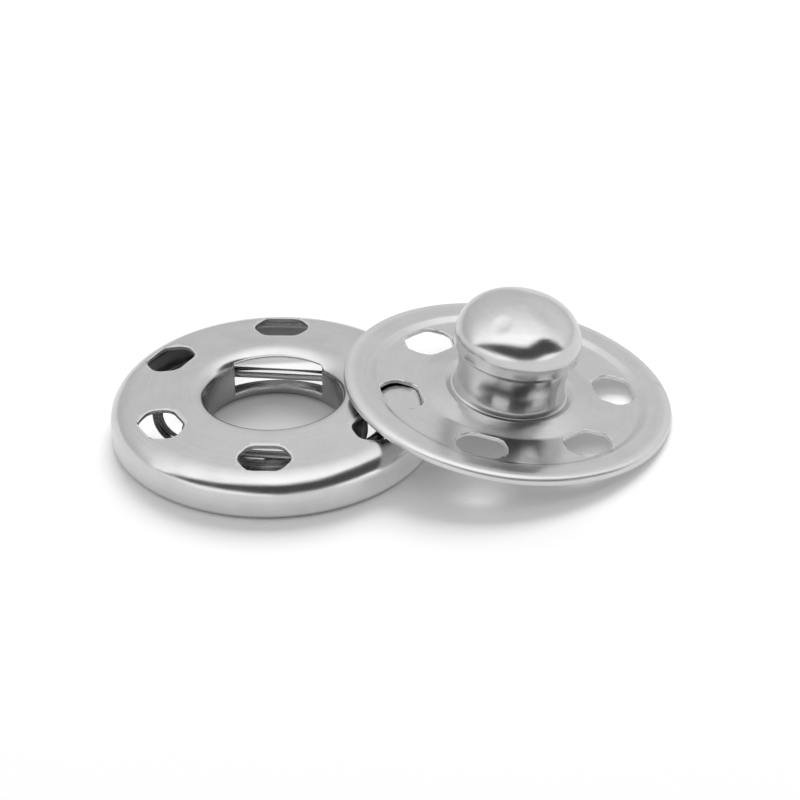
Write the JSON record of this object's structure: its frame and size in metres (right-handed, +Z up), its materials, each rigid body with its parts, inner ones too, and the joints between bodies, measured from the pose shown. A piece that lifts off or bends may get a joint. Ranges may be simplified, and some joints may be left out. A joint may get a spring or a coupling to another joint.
{
  "type": "sew-on snap fastener",
  "caption": "Pressed-metal sew-on snap fastener, both halves: an open socket with a wire spring lying flat, and the ball stud leaning on its shoulder.",
  "frame": {"origin": "on the socket's axis, at the foot of its hem, on the surface it lies on", "axes": "+Z up along the socket's axis; +X towards the stud, along the line between the two halves"},
  "size_m": [0.036, 0.0212, 0.0091],
  "materials": {
    "plated_sheet": "satin nickel plate",
    "spring_wire": "bright drawn wire"
  },
  "bodies": {
    "root": {"socket_shell": "plated_sheet", "wire_spring": "spring_wire", "stud": "plated_sheet"}
  },
  "joints": []
}
